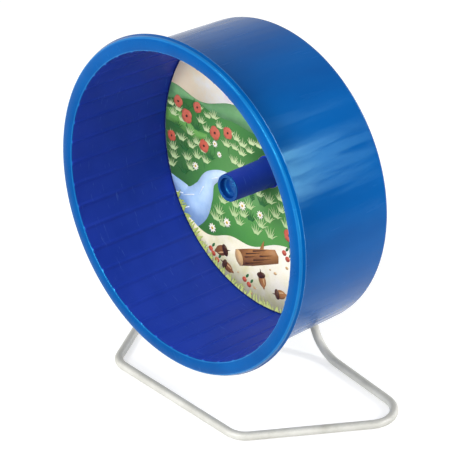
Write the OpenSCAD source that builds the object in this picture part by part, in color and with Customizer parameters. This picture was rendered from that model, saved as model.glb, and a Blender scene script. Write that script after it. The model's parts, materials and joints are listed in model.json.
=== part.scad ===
// Rodent exercise wheel: a ribbed plastic drum that spins on one axle, carried
// from behind by a stand bent from a single coated wire.
// The origin is on the surface that the stand rests on, under the middle of the
// wheel. X is to the right seen from the front, Y goes from the open front to
// the back and Z is up. Turned pieces are drawn along the axle: their z is the
// distance behind the front of the drum.

/* [Drum] */
// Outside diameter of the running wall, just behind the rim
drum_d = 186.8; // [140:0.2:240]
// Depth of the drum, from the front of the rim to the back wall
drum_depth = 77; // [66:1:110]
// Thickness of the running wall
wall_t = 1.8; // [1.7:0.1:3]
// Loss of radius from front to back, so that the drum leaves its mould
wall_draft = 0.6; // [0:0.1:1.5]
// Thickness of the back wall
back_t = 2.6; // [1.6:0.1:4]
// Radius of the rounded edge round the back
back_edge_r = 2.4; // [1.7:0.1:3]
// Radius of the inner corner between the running wall and the back wall
inner_corner_r = 0.8; // [0.4:0.1:1]

/* [Rim] */
// How far the rim stands out past the running wall
rim_h = 6.6; // [5:0.2:12]
// Depth of the rim's turned back lip
lip_depth = 4.2; // [3.4:0.1:8]
// Thickness of the rim and of its lip
rim_t = 1.8; // [1.4:0.1:2.4]
// How much wider the lip is at its free edge than at the front
lip_flare = 0.8; // [0:0.1:1.2]
// Crown of the rim's front face
rim_crown = 0.4; // [0.2:0.1:0.8]
// Radius of the rim's rounded edges
rim_edge_r = 0.6; // [0.3:0.1:0.65]
// Radius of the rim's outer front edge
rim_nose_r = 1.3; // [0.6:0.1:1.4]

/* [Running ribs] */
// Number of ribs round the running surface
rib_n = 42; // [24:1:60]
// Height of a rib
rib_h = 0.6; // [0.4:0.1:1]
// Radius of a rib's rounded back
rib_r = 1.2; // [1:0.1:1.3]
// Setback of the ribs' front ends from the front of the rim
rib_setback = 0.5; // [0.4:0.1:4]

/* [Hub] */
// Distance of the hub's tip behind the front of the rim
hub_setback = 41; // [10:0.5:42]
// Outside diameter of the hub's tip
hub_tip_d = 16.6; // [16:0.1:20]
// Growth of the hub's diameter from its tip to its root
hub_taper = 1.2; // [0:0.1:2]
// Diameter of the pocket in the hub's tip
pocket_d = 14; // [12:0.1:14.4]
// Diameter of the hub's bore, which holds both bushes
hub_bore_d = 9; // [8:0.1:9.4]
// Diameter of the boss behind the back wall
boss_d = 24; // [20:0.5:40]
// Height of the boss behind the back wall
boss_h = 2; // [1:0.2:4]
// Depth of the dish in the hub's cap
dish_depth = 4; // [2:0.2:6]
// Thickness of the cap's side and floor
cap_t = 0.8; // [0.7:0.1:1.2]

/* [Bearings] */
// Diameter of the axle
axle_d = 5; // [4:0.1:5.4]
// Radial clearance of the axle in its bushes
axle_fit = 0.08; // [0.02:0.01:0.1]
// Length of a bush inside the hub
bush_len = 8; // [6:0.5:10]
// Thickness of a bush's flange
bush_flange_t = 1.2; // [0.8:0.1:2]
// Diameter of the rear bush's flange
bush_flange_d = 13; // [12.4:0.1:18]
// Thickness of a washer
washer_t = 0.8; // [0.6:0.1:1.5]
// Radial clearance of the washers and the sleeve on the axle
washer_fit = 0.15; // [0.1:0.01:0.25]
// Thickness of the star nut's sheet
nut_t = 0.5; // [0.4:0.1:0.8]
// Rise of the star nut's teeth
nut_rise = 0.9; // [0.6:0.1:1.2]
// Number of slots between the star nut's teeth
nut_slots = 6; // [5:1:8]
// Free play along the axle at each end of the hub
end_play = 0.3; // [0.25:0.05:0.5]
// Outside diameter of the spacer sleeve
sleeve_d = 9; // [8:0.1:11]
// Length of axle past the cap's side of the star nut
axle_tip = 1.2; // [0.8:0.1:1.6]
// Length of axle behind the risers
axle_tail = 3; // [1:0.5:6]

/* [Card] */
// Thickness of the printed card
card_t = 0.8; // [0.5:0.1:1.2]
// Gap between the card's edge and the ribs
card_gap = 0.3; // [0.2:0.1:1]
// Gap between the card's hole and the hub
card_hole_gap = 1; // [0.9:0.1:2]

/* [Stand] */
// Diameter of the coated wire
wire_d = 5.4; // [4:0.1:6.4]
// Free height between the rim and the stand's base
under_gap = 25.2; // [15:0.2:50]
// Length of the front bar, between its bends' corner points
front_bar_w = 107; // [90:1:130]
// Width of the base across its widest corner points
base_w = 218.4; // [200:1:260]
// Spacing of the risers where they leave the base
riser_foot_w = 30; // [26:1:50]
// Distance of the front bar behind the front of the rim
front_bar_in = 5; // [3:0.5:15]
// Distance of the widest corners behind the drum
corner_out = 21; // [10:0.5:24]
// Distance of the risers' feet behind the drum
foot_out = 33; // [28:0.5:40]
// Distance of the risers behind the drum at the axle
riser_top_out = 15; // [14:0.5:20]
// Length of the risers above the axle
riser_tail = 5; // [3:0.5:10]
// Bend radius of the front corners, on the wire's centre line
front_bend_r = 13; // [8:0.5:18]
// Bend radius of the widest corners
corner_bend_r = 17.5; // [9:0.5:20]
// Bend radius at the foot of each riser
foot_bend_r = 21; // [12:0.5:26]
// Gap between a riser and the axle that the weld fills
weld_gap = 0.15; // [0.1:0.05:0.3]
// Radius of the weld beads
weld_r = 2.1; // [1.5:0.1:2.4]

/* [Hidden] */
$fn = 96;
SMALL_FN = 48;
EDGE_STEPS = 3;
CROWN_STEPS = 5;

// Radii of the drum
wall_r = drum_d / 2;
wall_back_r = wall_r - wall_draft;
inner_back_r = wall_back_r - wall_t;
rim_r = wall_r + rim_h;
lip_r = rim_r + lip_flare;
floor_z = drum_depth - back_t;
boss_z = drum_depth + boss_h;
draft_angle = atan(wall_draft / drum_depth);

// Radii of the hub
hub_tip_r = hub_tip_d / 2;
hub_root_r = hub_tip_r + hub_taper / 2;
pocket_r = pocket_d / 2;
hub_bore_r = hub_bore_d / 2;
root_fillet_r = 0.8;

// Places along the axle, behind the front of the rim
cap_back_z = hub_setback + dish_depth + cap_t;
axle_front_z = cap_back_z + end_play;
nut_z = axle_front_z + axle_tip;
front_washer_z = nut_z + nut_rise + nut_t;
front_flange_z = front_washer_z + washer_t + end_play;
shoulder_z = front_flange_z + bush_flange_t;
rear_flange_z = boss_z;
rear_washer_z = rear_flange_z + bush_flange_t + end_play;
sleeve_z = rear_washer_z + washer_t;

// Radii on the axle
axle_r = axle_d / 2;
bush_bore_r = axle_r + axle_fit;
washer_hole_r = axle_r + washer_fit;
pocket_clear = 0.5;
washer_r = pocket_r - pocket_clear;

// The stand
wire_r = wire_d / 2;
axle_h = lip_r + under_gap + wire_d;
riser_top_z = drum_depth + riser_top_out;
foot_z = drum_depth + foot_out;
corner_z = drum_depth + corner_out;
axle_back_z = riser_top_z + wire_r + axle_tail;
riser_top_x = axle_r + wire_r + weld_gap;
y_middle = (foot_z + wire_r) / 2;
// The wire thins a little where it bends, and the straight runs reach into the bends
bend_thinning = 0.04;
bend_lap = 0.1;

// Corner points of the wire's centre line, from the top of one riser, round the
// base and up to the top of the other. Each has its bend radius behind it.
foot = [riser_foot_w / 2, foot_z - y_middle, wire_r];
shoulder = [riser_top_x, riser_top_z - y_middle, axle_h];
riser_way = (shoulder - foot) / norm(shoulder - foot);
right_way = [
    [[front_bar_w / 2, front_bar_in - y_middle, wire_r], front_bend_r],
    [[base_w / 2, corner_z - y_middle, wire_r], corner_bend_r],
    [foot, foot_bend_r],
    [shoulder + riser_tail * riser_way, 0]
];
function mirrored(p) = [-p[0], p[1], p[2]];
left_way = [for (i = [len(right_way) - 1:-1:0]) [mirrored(right_way[i][0]), right_way[i][1]]];
wire_way = concat(left_way, right_way);

function unit(v) = v / norm(v);
// Points of an arc in the plane, from angle a0 to angle a1
function arc(centre, r, a0, a1, steps = EDGE_STEPS) =
    [for (i = [0:steps]) centre + r * [cos(a0 + (a1 - a0) * i / steps), sin(a0 + (a1 - a0) * i / steps)]];
// Wall radii at a distance z behind the front of the rim
function outer_at(z) = wall_r - wall_draft * z / drum_depth;
function inner_at(z) = outer_at(z) - wall_t;
// Length that a bend takes from each of the two runs that it joins
function bend_cut(a, b, r) = r * tan(acos(a * b) / 2);

// Places its children on the axle's line, with z as the distance behind the front
module on_axle() {
    translate([0, -y_middle, axle_h]) rotate([-90, 0, 0]) children();
}

// Places its children at a point, with their z along a direction
module along(from, way) {
    translate(from) rotate([0, acos(way[2] / norm(way)), atan2(way[1], way[0])]) children();
}

// A straight round bar between two points
module bar(from, to, r) {
    along(from, to - from) cylinder(h = norm(to - from), r = r, $fn = SMALL_FN);
}

// The rounded end of a round bar, seated in the bar
module bar_end(at, way, r) {
    along(at - bend_lap * way, way) rotate_extrude($fn = SMALL_FN)
        polygon(concat([[0, 0], [r, 0]], arc([r / 2, bend_lap], r / 2, 0, 90), [[0, r / 2 + bend_lap]]));
}

// A round bar bent at a corner point, from direction a into direction b
module bend(corner, a, b, bend_r, r) {
    inward = unit(b - (a * b) * a);
    centre = corner - bend_cut(a, b, bend_r) * a + bend_r * inward;
    x = -inward;
    z = cross(x, a);
    multmatrix([[x[0], a[0], z[0], centre[0]],
                [x[1], a[1], z[1], centre[1]],
                [x[2], a[2], z[2], centre[2]],
                [0, 0, 0, 1]])
        rotate_extrude(angle = acos(a * b))
            translate([bend_r, 0]) circle(r = r, $fn = SMALL_FN);
}

// A washer with a round hole, from z = 0 upwards
module washer(r, hole_r, t) {
    rotate_extrude() translate([hole_r, 0]) square([r - hole_r, t]);
}

// A bush with a flange at z = 0 and its sleeve along +Z
module flanged_bush(flange_r, sleeve_r, bore_r, flange_t, sleeve_len) {
    lead = 0.4;
    rotate_extrude()
        polygon([[bore_r, 0], [flange_r, 0], [flange_r, flange_t], [sleeve_r, flange_t],
                 [sleeve_r, flange_t + sleeve_len - lead], [sleeve_r - lead, flange_t + sleeve_len],
                 [bore_r, flange_t + sleeve_len]]);
}

// Section of the drum: hub, back wall, running wall and rim in one moulding
module drum_section() {
    e = rim_edge_r;
    // The crown is an arc over the width of the rim's face
    face_from = inner_at(0) + e;
    face_to = rim_r - rim_nose_r;
    half = (face_to - face_from) / 2;
    crown_r = (half * half + rim_crown * rim_crown) / (2 * rim_crown);
    crown_a = asin(half / crown_r);
    polygon(concat(
        // Hub, from its pocket out through the bore to the boss
        [[pocket_r, hub_setback], [pocket_r, shoulder_z], [hub_bore_r, shoulder_z],
         [hub_bore_r, boss_z], [boss_d / 2 - 0.5, boss_z], [boss_d / 2, boss_z - 0.5],
         [boss_d / 2, drum_depth]],
        // Back wall and the outside of the running wall
        arc([wall_back_r - back_edge_r, drum_depth - back_edge_r], back_edge_r, 90, 0),
        [[outer_at(rim_t + rim_crown), rim_t + rim_crown]],
        // Inside and outside of the turned back lip
        [[rim_r - rim_t, rim_t + rim_crown], [lip_r - rim_t, lip_depth]],
        arc([lip_r - e, lip_depth - e], e, 90, 0),
        // Crowned front face, from its outer edge to its inner edge
        arc([rim_r - rim_nose_r, rim_crown + rim_nose_r], rim_nose_r, 0, -90, CROWN_STEPS),
        arc([face_from + half, crown_r], crown_r, crown_a - 90, -crown_a - 90, CROWN_STEPS),
        arc([inner_at(0) + e, rim_crown + e], e, -90, -180),
        // Running surface and the front of the back wall
        arc([inner_back_r - inner_corner_r, floor_z - inner_corner_r], inner_corner_r, 0, 90),
        arc([hub_root_r + root_fillet_r, floor_z - root_fillet_r], root_fillet_r, 90, 180),
        arc([hub_tip_r - e, hub_setback + e], e, 0, -90)
    ));
}

// One rib along the running surface, following its draft
module running_rib() {
    translate([inner_at(rib_setback) + rib_r - rib_h, 0, rib_setback])
        rotate([0, -draft_angle, 0])
            cylinder(h = floor_z + back_t / 2 - rib_setback, r = rib_r, $fn = SMALL_FN);
}

module drum() {
    color("#0064ac") on_axle() {
        rotate_extrude() drum_section();
        for (i = [0:rib_n - 1]) rotate([0, 0, (i + 0.5) * 360 / rib_n]) running_rib();
    }
}

// Printed card that lies against the back wall, round the hub
module insert_card() {
    card_r = inner_back_r - rib_h - card_gap;
    color("#427239") on_axle() translate([0, 0, floor_z - card_t])
        washer(card_r, hub_root_r + card_hole_gap, card_t);
}

// Dished cap pushed into the hub's pocket
module hub_cap() {
    lead = 0.5;
    color("#0e469a") on_axle() rotate_extrude()
        polygon([[0, cap_back_z - cap_t], [pocket_r - cap_t, cap_back_z - cap_t],
                 [pocket_r - cap_t, hub_setback], [pocket_r, hub_setback],
                 [pocket_r, cap_back_z - lead], [pocket_r - lead, cap_back_z], [0, cap_back_z]]);
}

module front_bush() {
    color("ivory") on_axle() translate([0, 0, front_flange_z])
        flanged_bush(pocket_r - 0.1, hub_bore_r, bush_bore_r, bush_flange_t, bush_len);
}

module rear_bush() {
    color("ivory") on_axle() translate([0, 0, rear_flange_z + bush_flange_t]) mirror([0, 0, 1])
        flanged_bush(bush_flange_d / 2, hub_bore_r, bush_bore_r, bush_flange_t, bush_len);
}

// Steel axle, chamfered at both ends
module axle() {
    chamfer = 0.5;
    color("silver") on_axle() rotate_extrude()
        polygon([[0, axle_front_z], [axle_r - chamfer, axle_front_z],
                 [axle_r, axle_front_z + chamfer], [axle_r, axle_back_z - chamfer],
                 [axle_r - chamfer, axle_back_z], [0, axle_back_z]]);
}

// Star nut: a sprung disc whose teeth grip the axle and rise away from the washer
module star_nut() {
    tooth_root_r = washer_r - 1.2;
    slot_w = 0.8;
    color("gainsboro") on_axle() difference() {
        rotate_extrude()
            polygon([[axle_r, nut_z], [axle_r, nut_z + nut_t], [tooth_root_r, nut_z + nut_rise + nut_t],
                     [washer_r, nut_z + nut_rise + nut_t], [washer_r, nut_z + nut_rise],
                     [tooth_root_r, nut_z + nut_rise]]);
        for (i = [0:nut_slots - 1]) rotate([0, 0, i * 360 / nut_slots])
            translate([0, -slot_w / 2, nut_z - 1])
                cube([tooth_root_r - 0.3, slot_w, nut_rise + nut_t + 2]);
    }
}

module front_washer() {
    color("silver") on_axle() translate([0, 0, front_washer_z])
        washer(washer_r, washer_hole_r, washer_t);
}

module rear_washer() {
    color("silver") on_axle() translate([0, 0, rear_washer_z])
        washer(bush_flange_d / 2, washer_hole_r, washer_t);
}

// Sleeve that keeps the hub off the risers
module spacer_sleeve() {
    sleeve_len = riser_top_z - wire_r - sleeve_z;
    color("gainsboro") on_axle() translate([0, 0, sleeve_z])
        washer(sleeve_d / 2, washer_hole_r, sleeve_len);
}

// Stand bent from one wire, its two risers welded to the sides of the axle
module stand_wire() {
    last = len(wire_way) - 1;
    way = [for (i = [1:last]) unit(wire_way[i][0] - wire_way[i - 1][0])];
    // What each corner's bend takes off the runs on both of its sides
    cut = [for (i = [0:last])
               i == 0 || i == last ? 0 : bend_cut(way[i - 1], way[i], wire_way[i][1]) - bend_lap];
    color("#f2efea") difference() {
        union() {
            for (i = [1:last])
                bar(wire_way[i - 1][0] + cut[i - 1] * way[i - 1],
                    wire_way[i][0] - cut[i] * way[i - 1], wire_r);
            for (i = [1:last - 1])
                bend(wire_way[i][0], way[i - 1], way[i], wire_way[i][1], wire_r - bend_thinning);
            bar_end(wire_way[0][0], -way[0], wire_r - bend_thinning);
            bar_end(wire_way[last][0], way[last - 1], wire_r - bend_thinning);
            for (side = [-1, 1])
                bar([side * riser_top_x, shoulder[1], axle_h],
                    [side * axle_r / 2, shoulder[1], axle_h], weld_r);
        }
        on_axle() translate([0, 0, riser_top_z - 3 * wire_r]) cylinder(h = 6 * wire_r, r = axle_r);
    }
}

drum();
insert_card();
hub_cap();
front_bush();
rear_bush();
axle();
star_nut();
front_washer();
rear_washer();
spacer_sleeve();
stand_wire();
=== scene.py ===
"""Looks of the rodent exercise wheel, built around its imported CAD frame.

Every piece is made in the row frame: X to the right seen from the open front, Y from
the front to the back along the axle, Z up, in metres. Sizes in the classes are in
millimetres. A depth is a distance behind the front of the drum's rim.
"""

import json
import logging
import math
import random
from dataclasses import dataclass, field
from enum import Enum, IntEnum
from functools import cache
from typing import Any, Callable, ClassVar, Iterable, Sequence

import bmesh
import bpy
from mathutils import Matrix, Vector, geometry, noise

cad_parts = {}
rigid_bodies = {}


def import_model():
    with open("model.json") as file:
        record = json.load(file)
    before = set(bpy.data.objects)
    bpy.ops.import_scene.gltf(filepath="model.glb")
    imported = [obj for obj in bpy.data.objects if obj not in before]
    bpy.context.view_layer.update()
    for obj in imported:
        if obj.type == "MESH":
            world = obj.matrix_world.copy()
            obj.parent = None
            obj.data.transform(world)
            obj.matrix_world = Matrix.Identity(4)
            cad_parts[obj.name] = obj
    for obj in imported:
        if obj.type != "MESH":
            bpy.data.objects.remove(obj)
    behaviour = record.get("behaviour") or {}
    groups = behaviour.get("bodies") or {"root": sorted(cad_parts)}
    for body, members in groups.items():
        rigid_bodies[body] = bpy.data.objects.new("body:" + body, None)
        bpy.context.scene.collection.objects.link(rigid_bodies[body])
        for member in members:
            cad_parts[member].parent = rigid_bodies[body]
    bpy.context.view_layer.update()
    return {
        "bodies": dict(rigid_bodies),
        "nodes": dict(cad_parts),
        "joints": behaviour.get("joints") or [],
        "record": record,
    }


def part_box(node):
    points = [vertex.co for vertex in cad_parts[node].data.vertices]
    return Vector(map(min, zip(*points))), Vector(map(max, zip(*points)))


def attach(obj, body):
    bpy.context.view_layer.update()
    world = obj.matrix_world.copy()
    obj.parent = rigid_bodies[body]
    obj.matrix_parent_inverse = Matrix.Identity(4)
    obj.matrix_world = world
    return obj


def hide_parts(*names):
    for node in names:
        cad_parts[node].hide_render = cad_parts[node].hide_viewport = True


MM = 0.001
LOG = logging.getLogger("wheel")

Point = tuple[float, float]
Outline = list[Point]
# Radius, depth, finish of the face that follows, and share of the ribs' height
Station = tuple[float, float, int, float]
Stops = tuple[tuple[float, str], ...]
Place = tuple[float, float, float]
# Centre, way on, way to the side, and share of the full radius
Ring = tuple[Vector, Vector, Vector, float]
Tree = bpy.types.NodeTree
Socket = bpy.types.NodeSocket
# What goes into the shader's sockets, by their names
Feed = dict[str, Any]


class Body(Enum):
    """The two bodies that the hinge joins."""

    STAND = "stand"
    WHEEL = "wheel"


class Slot(Enum):
    """Material slots of the record."""

    BLUE_PLASTIC = "blue_plastic"
    PRINTED_CARD = "printed_card"
    BUSH_NYLON = "bush_nylon"
    BRIGHT_STEEL = "bright_steel"
    SPRING_STEEL = "spring_steel"
    COATED_WIRE = "coated_wire"


def linear(hex_colour: str) -> tuple[float, float, float, float]:
    """Turns an sRGB hex colour to linear light.

    Args:
        hex_colour: The colour as #rrggbb.

    Returns:
        Red, green, blue and an alpha of one.
    """
    parts = [int(hex_colour[i : i + 2], 16) / 255 for i in (1, 3, 5)]
    light = [c / 12.92 if c <= 0.04045 else ((c + 0.055) / 1.055) ** 2.4 for c in parts]
    return light[0], light[1], light[2], 1.0


def add_node(tree: Tree, kind: str, inputs: dict[Any, Any] | None = None) -> bpy.types.Node:
    """Adds a node with its settings and links.

    Args:
        tree: The node tree that the node goes into.
        kind: Blender's name for the node's type, without its "ShaderNode".
        inputs: Values by property name, socket name or socket number. A value that is an
            output socket is linked. "stops" holds a colour ramp's positions and colours.

    Returns:
        The new node.
    """
    node = tree.nodes.new(f"ShaderNode{kind}")
    for name, value in (inputs or {}).items():
        if name == "stops":
            elements = node.color_ramp.elements
            while len(elements) < len(value):
                elements.new(1.0)
            for element, (position, colour) in zip(elements, value):
                element.position = position
                element.color = linear(colour)
        elif isinstance(name, str) and hasattr(node, name):
            setattr(node, name, value)
        elif isinstance(value, Socket):
            tree.links.new(value, node.inputs[name])
        else:
            node.inputs[name].default_value = value
    return node


def fresh(collection: Any, name: str) -> tuple[Any, Tree]:
    """Makes a material or a world with an empty node tree.

    Args:
        collection: Blender's materials or worlds.
        name: Name of the new one.

    Returns:
        The new one, and its node tree.
    """
    made = collection.new(name)
    made.use_nodes = True
    made.node_tree.nodes.clear()
    return made, made.node_tree


@cache
def object_place(tree: Tree, squeeze: Place) -> Socket:
    """Gives the place in metres; a factor below one draws a pattern out on its axis."""
    where = add_node(tree, "TexCoord").outputs["Object"]
    return add_node(tree, "Mapping", {"Scale": squeeze, "Vector": where}).outputs[0]


def shades(deep: str, light: str, start: float = 0.3, end: float = 0.7) -> Stops:
    """Gives the stops of a ramp between two sRGB colours."""
    return (start, deep), (end, light)


@dataclass(frozen=True)
class Pattern:
    """A soft random pattern."""

    # Width of a patch in millimetres, and octaves of finer pattern on it
    size: float
    detail: float
    # A factor below one draws the pattern out along its axis
    squeeze: Place = (1, 1, 1)

    @cache
    def add(self, tree: Tree) -> Socket:
        """Adds its nodes, once in each tree.

        Args:
            tree: The material's node tree.

        Returns:
            Its value, about 0.5 on average.
        """
        where = object_place(tree, self.squeeze)
        grain = {"Scale": 1 / (self.size * MM), "Detail": self.detail, "Roughness": 0.55}
        return add_node(tree, "TexNoise", {**grain, "Vector": where}).outputs[0]


Bumps = tuple[tuple[Pattern | None, float], ...]


@dataclass(frozen=True)
class Finish:
    """A real material and the way its surface was made."""

    name: str
    # The pattern of its shades, and their places and sRGB colours along it
    shade: Pattern = Pattern(10, 2)
    stops: Stops = ()
    # Its roughness, or the range of it along a pattern, where None is the shades' own
    rough: Point | float = 0.5
    smear: Pattern | None = None
    # The patterns of its relief and their heights in millimetres, the coarsest first
    bumps: Bumps = ()
    # Values of the shader's own sockets, where None leaves what they have
    ior: float | None = None
    metallic: float | None = None
    shine: float | None = None
    tint: str | None = None

    def material(self) -> bpy.types.Material:
        """Makes the material once, and gives the same one again after that.

        Returns:
            The material with its shader dressed.
        """
        made = bpy.data.materials.get(self.name)
        if made:
            return made
        made, tree = fresh(bpy.data.materials, self.name)
        shader = add_node(tree, "BsdfPrincipled", self.dress(tree))
        add_node(tree, "OutputMaterial", {"Surface": shader.outputs[0]})
        return made

    def colour(self, tree: Tree) -> Socket:
        """Gives the colour that the ramp has along the shades' pattern."""
        ramp = {"stops": self.stops, "Fac": self.shade.add(tree)}
        return add_node(tree, "ValToRGB", ramp).outputs["Color"]

    @staticmethod
    def coated(
        tree: Tree, below: Socket, cause: Socket, onset: Point, share: float, colour: str
    ) -> Socket:
        """Lays a second colour on where its cause is strong.

        Args:
            tree: The material's node tree.
            below: The colour under it.
            cause: The value that it follows.
            onset: The range of that value over which it sets in.
            share: How much of it lies there in the end, from 0 to 1.
            colour: The second colour, in sRGB.

        Returns:
            The colour socket.
        """
        rise = {"From Min": onset[0], "From Max": onset[1], "To Min": 0.0, "To Max": share}
        amount = add_node(tree, "MapRange", {**rise, "Value": cause}).outputs[0]
        layers = {"data_type": "RGBA", 0: amount, 6: below, 7: linear(colour)}
        return add_node(tree, "Mix", layers).outputs[2]

    def dress(self, tree: Tree) -> Feed:
        """Adds the patterns of the finish.

        Args:
            tree: The material's node tree.

        Returns:
            What goes into the shader's sockets.
        """
        feed: Feed = {"Base Color": self.colour(tree), "Roughness": self.rough}
        if isinstance(self.rough, tuple):
            low, high = self.rough
            # The middle range of a soft pattern
            span = {"From Min": 0.3, "From Max": 0.7, "To Min": low, "To Max": high}
            smear = (self.smear or self.shade).add(tree)
            feed["Roughness"] = add_node(tree, "MapRange", {**span, "Value": smear}).outputs[0]
        for pattern, height in self.bumps:
            grain = (pattern or self.shade).add(tree)
            bump = {"Distance": height * MM, "Strength": 1.0, "Height": grain}
            if "Normal" in feed:
                bump["Normal"] = feed["Normal"]
            feed["Normal"] = add_node(tree, "Bump", bump).outputs[0]
        own = {
            "IOR": self.ior,
            "Metallic": self.metallic,
            "Specular IOR Level": self.shine,
            "Specular Tint": self.tint and linear(self.tint),
        }
        return feed | {name: value for name, value in own.items() if value is not None}


@dataclass(frozen=True)
class PolishedPolypropylene(Finish):
    """Polypropylene moulded in a polished tool.

    It gives the eye an even wet gloss, a slow waviness where the wall shrank, which
    breaks a lamp's reflection into streaks along the axle, and a fine orange peel.
    """

    shade: Pattern = Pattern(30, 3, (1, 0.3, 1))
    stops: Stops = shades("#004a90", "#00569f")
    rough: Point = (0.06, 0.3)
    smear: Pattern = Pattern(5, 4, (1, 0.12, 1))
    bumps: Bumps = ((Pattern(6, 1, (1, 0.16, 1)), 0.14), (Pattern(1.4, 1), 0.006))
    ior: float = 1.49
    shine: float = 0.12
    # The pigment close under the skin turns the gloss a pale blue
    tint: str = "#50dcff"


@dataclass(frozen=True)
class TexturedPolypropylene(Finish):
    """Polypropylene moulded against a spark-eroded core.

    It gives the eye a satin with fine pits and the light scuffs that claws leave along
    the running direction. Its blue, deeper and more violet than the outside's, is
    painted shade: the inside is the same moulding, lying in shade.
    """

    shade: Pattern = Pattern(26, 3)
    stops: Stops = shades("#1938a4", "#2240b2")
    rough: Point = (0.42, 0.54)
    bumps: Bumps = ((Pattern(0.7, 2), 0.02),)
    ior: float = 1.49
    shine: float = 0.2
    scuff: str = "#5b7ed2"
    scratch: Pattern = Pattern(9, 5, (1, 6, 1))
    # The range of the scratches' pattern that scuffs set in over, and their full share
    scuffed: Point = (0.64, 0.74)
    scuff_share: float = 0.35

    def colour(self, tree: Tree) -> Socket:
        """Gives the shades, scuffed where the scratches' pattern is at its highest."""
        below, marks = super().colour(tree), self.scratch.add(tree)
        return self.coated(tree, below, marks, self.scuffed, self.scuff_share, self.scuff)


@dataclass(frozen=True)
class MouldedNylon(Finish):
    """Natural nylon, moulded: a milky cream with a soft sheen and a faint cloudiness."""

    shade: Pattern = Pattern(4, 2)
    stops: Stops = shades("#d9d2bd", "#ece7d6")
    rough: float = 0.42
    bumps: Bumps = ((Pattern(0.5, 2), 0.008),)
    ior: float = 1.53


@dataclass(frozen=True)
class DrawnSteel(Finish):
    """Bright drawn steel: a grey mirror blurred by fine draw lines along the axle."""

    # Real draw lines are some 0.05 mm apart; these are as coarse as they need to show
    shade: Pattern = Pattern(0.35, 3, (1, 0.03, 1))
    stops: Stops = shades("#8e9092", "#c4c5c4")
    rough: Point = (0.24, 0.38)
    bumps: Bumps = ((None, 0.006),)
    metallic: float = 1.0


@dataclass(frozen=True)
class ZincPlate(Finish):
    """Zinc plate on spring steel: a bluish grey with faint yellow and grey blooms."""

    shade: Pattern = Pattern(3, 4)
    stops: Stops = shades("#878b90", "#b9bab5", 0.32, 0.66)
    rough: Point = (0.28, 0.46)
    bumps: Bumps = ((Pattern(0.25, 2), 0.004),)
    metallic: float = 1.0


@dataclass(frozen=True)
class DippedVinyl(Finish):
    """White vinyl that a hot wire was dipped in.

    It gives the eye a warm white with a soft gloss, thicker and thinner places along
    the wire, a little grime where it is handled and stands, and a grey painted shade
    on its upper side, broken up by grit.
    """

    shade: Pattern = Pattern(16, 4)
    stops: Stops = ((0.24, "#b0aea4"), (0.4, "#c6c5bd"), (0.62, "#d3d2cb"))
    rough: Point = (0.3, 0.42)
    grit: Pattern = Pattern(0.8, 3)
    bumps: Bumps = ((Pattern(5, 1), 0.06), (Pattern(0.8, 3), 0.008))
    ior: float = 1.53
    upper_shade: str = "#7f7e78"
    # How much the grit breaks up the painted shade on the upper side, the range of facing
    # up that it sets in over, and its full share
    broken_up: float = 0.4
    upper_shade_onset: Point = (0.75, 1.2)
    upper_shade_share: float = 0.5

    def colour(self, tree: Tree) -> Socket:
        """Gives the shades, darkened on what faces up as painted shade.

        Args:
            tree: The material's node tree.

        Returns:
            The colour socket.
        """
        # Painted shade: what faces up is darkened, unevenly through the grit
        facing = add_node(tree, "NewGeometry").outputs["Normal"]
        upright = add_node(tree, "SeparateXYZ", {0: facing}).outputs["Z"]
        grit = self.grit.add(tree)
        rise = {"operation": "MULTIPLY_ADD", 0: grit, 1: self.broken_up, 2: upright}
        uneven = add_node(tree, "Math", rise).outputs[0]
        below = super().colour(tree)
        return self.coated(tree, below, uneven, self.upper_shade_onset, self.upper_shade_share, self.upper_shade)


@dataclass(frozen=True)
class GreyBoard(Finish):
    """Lined grey board: dull, with short fibres and darker flecks."""

    shade: Pattern = Pattern(0.9, 4, (1, 1, 0.4))
    stops: Stops = shades("#a59d8d", "#cfc8b8", 0.3, 0.66)
    rough: float = 0.85
    bumps: Bumps = ((None, 0.02),)


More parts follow.
